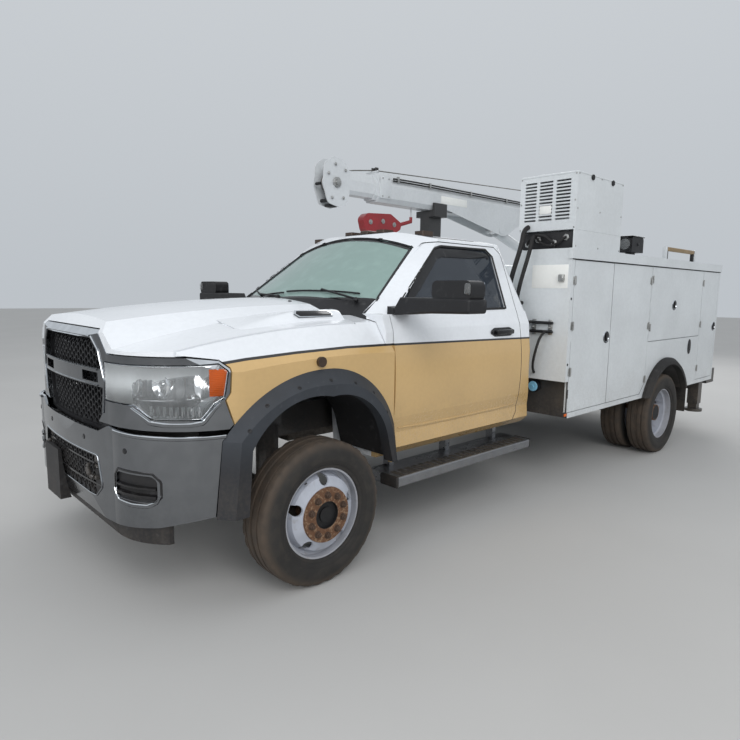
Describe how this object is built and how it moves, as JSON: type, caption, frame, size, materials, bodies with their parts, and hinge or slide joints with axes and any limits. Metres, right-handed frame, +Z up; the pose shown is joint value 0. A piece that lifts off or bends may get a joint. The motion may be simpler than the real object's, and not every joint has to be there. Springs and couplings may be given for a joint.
{
  "type": "service truck with crane",
  "caption": "Single-cab service truck on dual rear wheels with a locker body, a louvered compressor housing and a stowed telescopic crane.",
  "frame": {"origin": "on the ground, under the middle of the truck's length and width", "axes": "+X forward, +Y to the truck's left side, +Z up"},
  "size_m": [6.98, 3.04, 2.9249],
  "materials": {
    "chassis_black": "satin black, dusty",
    "engine_iron": "matt",
    "chrome_trim": "polished",
    "black_plastic": "grained",
    "lamp_lens": "clear lens over reflectors",
    "white_paint": "gloss",
    "flare_plastic": "grained, faded",
    "tinted_glass": "lightly tinted",
    "dark_glass": "darkly tinted",
    "trim_plastic": "grained",
    "seat_fabric": "woven",
    "board_steel": "satin",
    "amber_lens": "moulded lens",
    "body_white": "satin",
    "flare_rubber": "matt",
    "crane_white": "gloss",
    "hook_red": "gloss",
    "chrome_rod": "hard chrome",
    "tyre_rubber": "dusty",
    "rim_white": "satin, dusty"
  },
  "bodies": {
    "chassis": {"frame": "chassis_black", "front_axle": "chassis_black", "rear_axle": "chassis_black", "drivetrain": "engine_iron", "front_bumper": "chrome_trim", "front_inserts": "black_plastic", "grille_surround": "chrome_trim", "headlamps": "lamp_lens", "front_fenders": "white_paint", "front_arches": "flare_plastic", "cab_shell": "white_paint", "cab_glass": "tinted_glass", "dashboard": "trim_plastic", "seat": "seat_fabric", "running_boards": "board_steel", "marker_lamps": "amber_lens", "body_fittings": "black_plastic", "body_packs": "body_white", "bed_floor": "body_white", "rear_flares": "flare_rubber", "rear_bumper": "chassis_black", "compressor_box": "body_white", "boom_rest": "chassis_black", "crane_mast": "body_white"},
    "hood": {"hood": "white_paint"},
    "tailgate": {"tailgate": "body_white"},
    "turret": {"crane_turret": "crane_white"},
    "boom": {"crane_boom": "crane_white", "hook_block": "hook_red"},
    "stage_1": {"boom_extension_1": "crane_white"},
    "stage_2": {"boom_extension_2": "crane_white"},
    "lift_barrel": {"luff_cylinder": "crane_white"},
    "lift_rod": {"luff_rod": "chrome_rod"},
    "door_left": {"door_left": "white_paint", "door_glass_left": "dark_glass", "mirror_left": "black_plastic"},
    "knuckle_left": {"knuckle_left": "chassis_black"},
    "wheel_front_left": {"tyre_front_left": "tyre_rubber", "rim_front_left": "rim_white"},
    "wheel_rear_left": {"tyres_rear_left": "tyre_rubber", "rims_rear_left": "rim_white"},
    "outrigger_left": {"outrigger_left": "chassis_black"},
    "locker_left_1": {"locker_left_1": "body_white"},
    "locker_left_2": {"locker_left_2": "body_white"},
    "locker_left_3": {"locker_left_3": "body_white"},
    "locker_left_4": {"locker_left_4": "body_white"},
    "door_right": {"door_right": "white_paint", "door_glass_right": "dark_glass", "mirror_right": "black_plastic"},
    "knuckle_right": {"knuckle_right": "chassis_black"},
    "wheel_front_right": {"tyre_front_right": "tyre_rubber", "rim_front_right": "rim_white"},
    "wheel_rear_right": {"tyres_rear_right": "tyre_rubber", "rims_rear_right": "rim_white"},
    "outrigger_right": {"outrigger_right": "chassis_black"},
    "locker_right_1": {"locker_right_1": "body_white"},
    "locker_right_2": {"locker_right_2": "body_white"},
    "locker_right_3": {"locker_right_3": "body_white"}
  },
  "joints": [
    {"name": "hood_hinge", "type": "hinge", "parent": "chassis", "child": "hood", "pos_m": [2.124, 0, 1.56], "axis": [0, -1, 0], "range_deg": [0, 50]},
    {"name": "tailgate_hinge", "type": "hinge", "parent": "chassis", "child": "tailgate", "pos_m": [-3.247, 0, 0.992], "axis": [0, -1, 0], "range_deg": [0, 90]},
    {"name": "door_left_hinge", "type": "hinge", "parent": "chassis", "child": "door_left", "pos_m": [1.902, 1.001, 1.2], "axis": [0, 0, -1], "range_deg": [0, 68]},
    {"name": "steer_left", "type": "hinge", "parent": "chassis", "child": "knuckle_left", "pos_m": [2.505, 0.85, 0.402], "axis": [0, 0, 1], "range_deg": [-35, 35]},
    {"name": "spin_front_left", "type": "hinge", "parent": "knuckle_left", "child": "wheel_front_left", "pos_m": [2.505, 0.98, 0.402], "axis": [0, 1, 0], "continuous": true},
    {"name": "spin_rear_left", "type": "hinge", "parent": "chassis", "child": "wheel_rear_left", "pos_m": [-1.775, 0.98, 0.402], "axis": [0, 1, 0], "continuous": true},
    {"name": "outrigger_left_slide", "type": "slide", "parent": "chassis", "child": "outrigger_left", "axis": [0, 0, -1], "range_m": [0, 0.225]},
    {"name": "locker_left_1_hinge", "type": "hinge", "parent": "chassis", "child": "locker_left_1", "pos_m": [0.163, 1.2, 1.26], "axis": [0, 0, -1], "range_deg": [0, 85]},
    {"name": "locker_left_2_hinge", "type": "hinge", "parent": "chassis", "child": "locker_left_2", "pos_m": [-1.301, 1.2, 1.26], "axis": [0, 0, 1], "range_deg": [0, 85]},
    {"name": "locker_left_3_hinge", "type": "hinge", "parent": "chassis", "child": "locker_left_3", "pos_m": [-1.319, 1.2, 1.26], "axis": [0, 0, -1], "range_deg": [0, 85]},
    {"name": "locker_left_4_hinge", "type": "hinge", "parent": "chassis", "child": "locker_left_4", "pos_m": [-2.691, 1.2, 1.26], "axis": [0, 0, -1], "range_deg": [0, 85]},
    {"name": "door_right_hinge", "type": "hinge", "parent": "chassis", "child": "door_right", "pos_m": [1.902, -1.001, 1.2], "axis": [0, 0, 1], "range_deg": [0, 68]},
    {"name": "steer_right", "type": "hinge", "parent": "chassis", "child": "knuckle_right", "pos_m": [2.505, -0.85, 0.402], "axis": [0, 0, 1], "range_deg": [-35, 35]},
    {"name": "spin_front_right", "type": "hinge", "parent": "knuckle_right", "child": "wheel_front_right", "pos_m": [2.505, -0.98, 0.402], "axis": [0, 1, 0], "continuous": true},
    {"name": "spin_rear_right", "type": "hinge", "parent": "chassis", "child": "wheel_rear_right", "pos_m": [-1.775, -0.98, 0.402], "axis": [0, 1, 0], "continuous": true},
    {"name": "outrigger_right_slide", "type": "slide", "parent": "chassis", "child": "outrigger_right", "axis": [0, 0, -1], "range_m": [0, 0.225]},
    {"name": "locker_right_1_hinge", "type": "hinge", "parent": "chassis", "child": "locker_right_1", "pos_m": [0.163, -1.2, 1.26], "axis": [0, 0, 1], "range_deg": [0, 85]},
    {"name": "locker_right_2_hinge", "type": "hinge", "parent": "chassis", "child": "locker_right_2", "pos_m": [-1.301, -1.2, 1.26], "axis": [0, 0, -1], "range_deg": [0, 85]},
    {"name": "locker_right_3_hinge", "type": "hinge", "parent": "chassis", "child": "locker_right_3", "pos_m": [-1.319, -1.2, 1.26], "axis": [0, 0, 1], "range_deg": [0, 85]},
    {"name": "slew", "type": "hinge", "parent": "chassis", "child": "turret", "pos_m": [-2.675, -0.9, 1.985], "axis": [0, 0, -1], "range_deg": [0, 300]},
    {"name": "luff", "type": "hinge", "parent": "turret", "child": "boom", "pos_m": [-2.895, -0.9, 2.62], "axis": [0, -1, 0], "range_deg": [0, 70]},
    {"name": "extend_1", "type": "slide", "parent": "boom", "child": "stage_1", "axis": [1, 0, 0], "range_m": [0, 1.2]},
    {"name": "extend_2", "type": "slide", "parent": "stage_1", "child": "stage_2", "axis": [1, 0, 0], "range_m": [0, 1.2]},
    {"name": "lift_barrel_pivot", "type": "hinge", "parent": "turret", "child": "lift_barrel", "pos_m": [-2.555, -0.9, 2.09], "axis": [0, -1, 0], "range_deg": [0, 64]},
    {"name": "lift_rod_slide", "type": "slide", "parent": "lift_barrel", "child": "lift_rod", "axis": [0.9543, 0, 0.2989], "range_m": [0, 0.715]}
  ],
  "couplings": [
    {"joint": "steer_right", "follows": "steer_left", "ratio": 1},
    {"joint": "lift_barrel_pivot", "follows": "luff", "ratio": 0.905},
    {"joint": "lift_rod_slide", "follows": "luff", "m_per_rad": 0.58}
  ]
}
